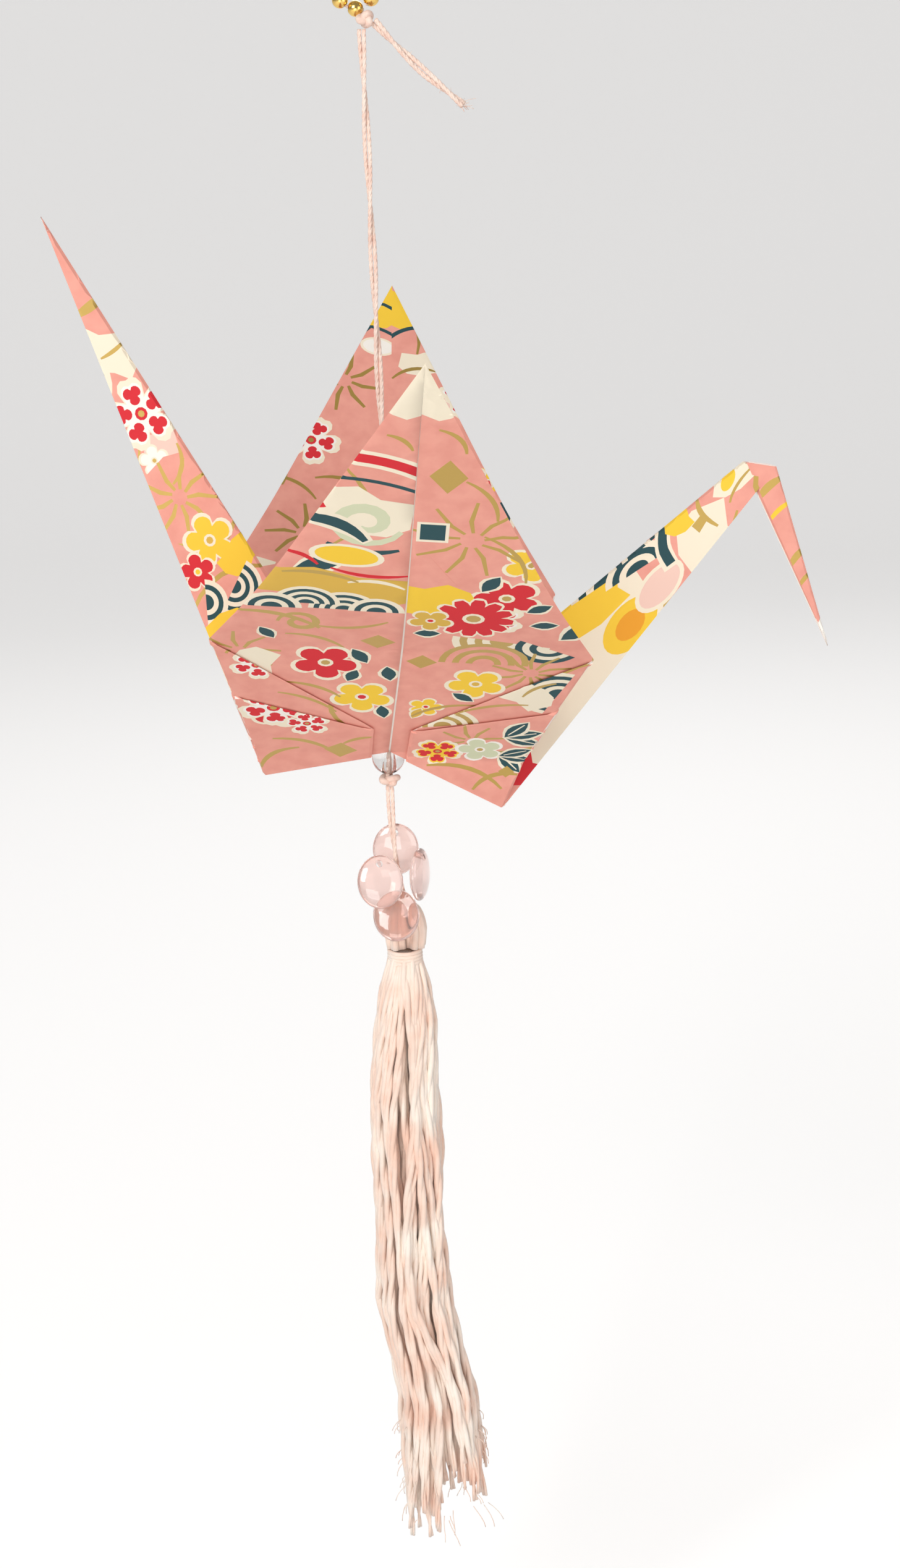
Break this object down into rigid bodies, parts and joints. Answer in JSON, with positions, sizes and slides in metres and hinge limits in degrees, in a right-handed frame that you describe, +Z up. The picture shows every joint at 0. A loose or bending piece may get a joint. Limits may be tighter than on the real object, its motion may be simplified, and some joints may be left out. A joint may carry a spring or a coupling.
{
  "type": "origami crane ornament",
  "caption": "Folded washi paper crane hanging on a doubled thread from a gold beaded loop, with a glass bead under its body, four petal beads and a long tassel below.",
  "frame": {"origin": "top of the hanging loop, where the ornament hangs", "axes": "+Z up, +X towards the crane's head, the two wings towards -Y and +Y"},
  "size_m": [0.091, 0.1175, 0.2034],
  "materials": {
    "washi_paper": "matte",
    "thread": "matte",
    "gold": "polished",
    "clear_glass": "polished",
    "petal_glass": "polished",
    "tassel_floss": "satin"
  },
  "bodies": {
    "root": {"crane": "washi_paper", "hanging_thread": "thread", "top_knot": "thread", "cut_tail": "thread", "hanging_loop": "thread", "gold_beads": "gold", "glass_bead": "clear_glass", "bead_knot": "thread", "petal_bead_back": "petal_glass", "petal_bead_front": "petal_glass", "petal_bead_right": "petal_glass", "petal_bead_low": "petal_glass", "tassel_head": "tassel_floss", "tassel_skirt": "tassel_floss"}
  },
  "joints": []
}
